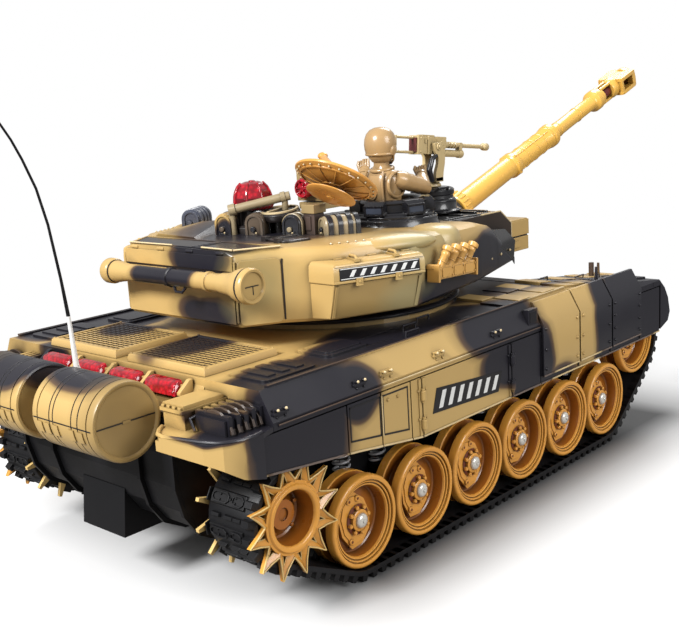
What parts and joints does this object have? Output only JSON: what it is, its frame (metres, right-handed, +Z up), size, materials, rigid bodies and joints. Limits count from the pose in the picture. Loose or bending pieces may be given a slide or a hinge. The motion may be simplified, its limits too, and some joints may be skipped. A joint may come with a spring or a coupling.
{
  "type": "rc tank",
  "caption": "Remote-control tank toy: turning turret with raised gun, commander at a roof machine gun, dish, lamps, side skirts, rear drums and tracked sprung wheels.",
  "frame": {"origin": "middle of the bounding box, on the ground under the tracks", "axes": "+X forward towards the gun, +Y to the tank's left, +Z up"},
  "size_m": [0.4517, 0.1744, 0.1872],
  "materials": {
    "sand_plastic": "satin two-tone camouflage, soft-edged charcoal patches over sand",
    "black_plastic": "satin black moulding",
    "track_rubber": "flexible black track, matt",
    "wheel_plastic": "glossy amber moulding",
    "gun_plastic": "glossy yellow-orange moulding",
    "figure_plastic": "glossy tan moulding",
    "cream_plastic": "glossy cream moulding",
    "red_lens": "clear crimson plastic with a fine ribbed surface",
    "antenna_wire": "thin black whip",
    "cell_wrap": "shrink-wrapped cell pack",
    "board_green": "printed circuit board",
    "gear_case": "grey gearbox moulding",
    "motor_can": "steel motor can",
    "switch_red": "red slide switch"
  },
  "bodies": {
    "hull": {"lower_hull": "black_plastic", "upper_hull": "sand_plastic", "side_skirt_left": "sand_plastic", "side_skirt_right": "sand_plastic", "engine_grille_left": "sand_plastic", "engine_grille_right": "sand_plastic", "tail_light_bar": "red_lens", "fuel_drum_left": "sand_plastic", "fuel_drum_right": "sand_plastic", "whip_antenna": "antenna_wire", "battery_pack": "cell_wrap", "battery_door": "black_plastic", "circuit_board": "board_green", "gearbox_left": "gear_case", "gearbox_right": "gear_case", "speaker": "black_plastic", "turret_motor": "motor_can", "track_left": "track_rubber", "track_right": "track_rubber"},
    "turret": {"turret_base": "sand_plastic", "turret_shell": "sand_plastic", "stowage_box_left": "sand_plastic", "stowage_box_right": "sand_plastic", "smoke_launcher_left": "wheel_plastic", "smoke_launcher_right": "wheel_plastic", "snorkel_tube": "sand_plastic", "commander_cupola": "black_plastic", "commander_figure": "figure_plastic", "beacon_lens": "red_lens", "lamp_housing": "sand_plastic", "lamp_lens": "red_lens"},
    "gun": {"gun_mantlet": "black_plastic", "gun_barrel": "gun_plastic"},
    "mg_mount": {"machine_gun_mount": "cream_plastic"},
    "mg": {"machine_gun": "cream_plastic"},
    "dish": {"radar_dish": "wheel_plastic"},
    "switch": {"power_switch": "switch_red"},
    "sprocket_left": {"sprocket_left": "wheel_plastic"},
    "bogie_left_rear": {"bogie_left_rear": "black_plastic"},
    "bogie_left_middle": {"bogie_left_middle": "black_plastic"},
    "bogie_left_front": {"bogie_left_front": "black_plastic"},
    "road_wheel_left_1": {"road_wheel_left_1": "wheel_plastic"},
    "road_wheel_left_2": {"road_wheel_left_2": "wheel_plastic"},
    "road_wheel_left_3": {"road_wheel_left_3": "wheel_plastic"},
    "road_wheel_left_4": {"road_wheel_left_4": "wheel_plastic"},
    "road_wheel_left_5": {"road_wheel_left_5": "wheel_plastic"},
    "road_wheel_left_6": {"road_wheel_left_6": "wheel_plastic"},
    "idler_wheel_left": {"idler_wheel_left": "wheel_plastic"},
    "sprocket_right": {"sprocket_right": "wheel_plastic"},
    "bogie_right_rear": {"bogie_right_rear": "black_plastic"},
    "bogie_right_middle": {"bogie_right_middle": "black_plastic"},
    "bogie_right_front": {"bogie_right_front": "black_plastic"},
    "road_wheel_right_1": {"road_wheel_right_1": "wheel_plastic"},
    "road_wheel_right_2": {"road_wheel_right_2": "wheel_plastic"},
    "road_wheel_right_3": {"road_wheel_right_3": "wheel_plastic"},
    "road_wheel_right_4": {"road_wheel_right_4": "wheel_plastic"},
    "road_wheel_right_5": {"road_wheel_right_5": "wheel_plastic"},
    "road_wheel_right_6": {"road_wheel_right_6": "wheel_plastic"},
    "idler_wheel_right": {"idler_wheel_right": "wheel_plastic"}
  },
  "joints": [
    {"name": "turret_traverse", "type": "hinge", "parent": "hull", "child": "turret", "pos_m": [-0.06097, 0, 0.0867], "axis": [0, 0, 1], "range_deg": [-150, 150]},
    {"name": "gun_elevation", "type": "hinge", "parent": "turret", "child": "gun", "pos_m": [0.02598, 0, 0.1152], "axis": [0, -1, 0], "range_deg": [-22, 8], "stiffness_Nm_per_rad": 0.2, "springref_deg": 5.3},
    {"name": "mg_swing", "type": "hinge", "parent": "turret", "child": "mg_mount", "pos_m": [-0.00547, -0.017, 0.1346], "axis": [0, 0, 1], "range_deg": [-12, 12]},
    {"name": "mg_tilt", "type": "hinge", "parent": "mg_mount", "child": "mg", "pos_m": [-0.00547, -0.017, 0.1539], "axis": [0, -1, 0], "range_deg": [-8, 16]},
    {"name": "dish_swing", "type": "hinge", "parent": "turret", "child": "dish", "pos_m": [-0.08391, -0.02, 0.1555], "axis": [0, 0, 1], "range_deg": [-20, 24]},
    {"name": "power_slide", "type": "slide", "parent": "hull", "child": "switch", "axis": [1, 0, 0], "range_m": [-0.003, 0.003]},
    {"name": "sprocket_left_spin", "type": "hinge", "parent": "hull", "child": "sprocket_left", "pos_m": [-0.17456, 0.07, 0.0393], "axis": [0, 1, 0], "continuous": true},
    {"name": "bogie_left_rear_lift", "type": "slide", "parent": "hull", "child": "bogie_left_rear", "axis": [0, 0, 1], "range_m": [0, 0.003], "stiffness_N_per_m": 400, "springref_m": -0.001},
    {"name": "bogie_left_middle_lift", "type": "slide", "parent": "hull", "child": "bogie_left_middle", "axis": [0, 0, 1], "range_m": [0, 0.003], "stiffness_N_per_m": 400, "springref_m": -0.001},
    {"name": "bogie_left_front_lift", "type": "slide", "parent": "hull", "child": "bogie_left_front", "axis": [0, 0, 1], "range_m": [0, 0.003], "stiffness_N_per_m": 400, "springref_m": -0.001},
    {"name": "road_wheel_left_1_spin", "type": "hinge", "parent": "bogie_left_rear", "child": "road_wheel_left_1", "pos_m": [-0.13497, 0.0725, 0.0231], "axis": [0, 1, 0], "continuous": true},
    {"name": "road_wheel_left_2_spin", "type": "hinge", "parent": "bogie_left_rear", "child": "road_wheel_left_2", "pos_m": [-0.09797, 0.0725, 0.0231], "axis": [0, 1, 0], "continuous": true},
    {"name": "road_wheel_left_3_spin", "type": "hinge", "parent": "bogie_left_middle", "child": "road_wheel_left_3", "pos_m": [-0.06097, 0.0725, 0.0231], "axis": [0, 1, 0], "continuous": true},
    {"name": "road_wheel_left_4_spin", "type": "hinge", "parent": "bogie_left_middle", "child": "road_wheel_left_4", "pos_m": [-0.02397, 0.0725, 0.0231], "axis": [0, 1, 0], "continuous": true},
    {"name": "road_wheel_left_5_spin", "type": "hinge", "parent": "bogie_left_front", "child": "road_wheel_left_5", "pos_m": [0.01303, 0.0725, 0.0231], "axis": [0, 1, 0], "continuous": true},
    {"name": "road_wheel_left_6_spin", "type": "hinge", "parent": "bogie_left_front", "child": "road_wheel_left_6", "pos_m": [0.05003, 0.0725, 0.0231], "axis": [0, 1, 0], "continuous": true},
    {"name": "idler_wheel_left_spin", "type": "hinge", "parent": "hull", "child": "idler_wheel_left", "pos_m": [0.08222, 0.0725, 0.0478], "axis": [0, 1, 0], "continuous": true},
    {"name": "sprocket_right_spin", "type": "hinge", "parent": "hull", "child": "sprocket_right", "pos_m": [-0.17456, -0.07, 0.0393], "axis": [0, 1, 0], "continuous": true},
    {"name": "bogie_right_rear_lift", "type": "slide", "parent": "hull", "child": "bogie_right_rear", "axis": [0, 0, 1], "range_m": [0, 0.003], "stiffness_N_per_m": 400, "springref_m": -0.001},
    {"name": "bogie_right_middle_lift", "type": "slide", "parent": "hull", "child": "bogie_right_middle", "axis": [0, 0, 1], "range_m": [0, 0.003], "stiffness_N_per_m": 400, "springref_m": -0.001},
    {"name": "bogie_right_front_lift", "type": "slide", "parent": "hull", "child": "bogie_right_front", "axis": [0, 0, 1], "range_m": [0, 0.003], "stiffness_N_per_m": 400, "springref_m": -0.001},
    {"name": "road_wheel_right_1_spin", "type": "hinge", "parent": "bogie_right_rear", "child": "road_wheel_right_1", "pos_m": [-0.13497, -0.0725, 0.0231], "axis": [0, 1, 0], "continuous": true},
    {"name": "road_wheel_right_2_spin", "type": "hinge", "parent": "bogie_right_rear", "child": "road_wheel_right_2", "pos_m": [-0.09797, -0.0725, 0.0231], "axis": [0, 1, 0], "continuous": true},
    {"name": "road_wheel_right_3_spin", "type": "hinge", "parent": "bogie_right_middle", "child": "road_wheel_right_3", "pos_m": [-0.06097, -0.0725, 0.0231], "axis": [0, 1, 0], "continuous": true},
    {"name": "road_wheel_right_4_spin", "type": "hinge", "parent": "bogie_right_middle", "child": "road_wheel_right_4", "pos_m": [-0.02397, -0.0725, 0.0231], "axis": [0, 1, 0], "continuous": true},
    {"name": "road_wheel_right_5_spin", "type": "hinge", "parent": "bogie_right_front", "child": "road_wheel_right_5", "pos_m": [0.01303, -0.0725, 0.0231], "axis": [0, 1, 0], "continuous": true},
    {"name": "road_wheel_right_6_spin", "type": "hinge", "parent": "bogie_right_front", "child": "road_wheel_right_6", "pos_m": [0.05003, -0.0725, 0.0231], "axis": [0, 1, 0], "continuous": true},
    {"name": "idler_wheel_right_spin", "type": "hinge", "parent": "hull", "child": "idler_wheel_right", "pos_m": [0.08222, -0.0725, 0.0478], "axis": [0, 1, 0], "continuous": true}
  ],
  "couplings": [
    {"joint": "road_wheel_left_1_spin", "follows": "sprocket_left_spin", "ratio": 0.853},
    {"joint": "road_wheel_left_2_spin", "follows": "sprocket_left_spin", "ratio": 0.853},
    {"joint": "road_wheel_left_3_spin", "follows": "sprocket_left_spin", "ratio": 0.853},
    {"joint": "road_wheel_left_4_spin", "follows": "sprocket_left_spin", "ratio": 0.853},
    {"joint": "road_wheel_left_5_spin", "follows": "sprocket_left_spin", "ratio": 0.853},
    {"joint": "road_wheel_left_6_spin", "follows": "sprocket_left_spin", "ratio": 0.853},
    {"joint": "idler_wheel_left_spin", "follows": "sprocket_left_spin", "ratio": 0.853},
    {"joint": "road_wheel_right_1_spin", "follows": "sprocket_right_spin", "ratio": 0.853},
    {"joint": "road_wheel_right_2_spin", "follows": "sprocket_right_spin", "ratio": 0.853},
    {"joint": "road_wheel_right_3_spin", "follows": "sprocket_right_spin", "ratio": 0.853},
    {"joint": "road_wheel_right_4_spin", "follows": "sprocket_right_spin", "ratio": 0.853},
    {"joint": "road_wheel_right_5_spin", "follows": "sprocket_right_spin", "ratio": 0.853},
    {"joint": "road_wheel_right_6_spin", "follows": "sprocket_right_spin", "ratio": 0.853},
    {"joint": "idler_wheel_right_spin", "follows": "sprocket_right_spin", "ratio": 0.853}
  ]
}
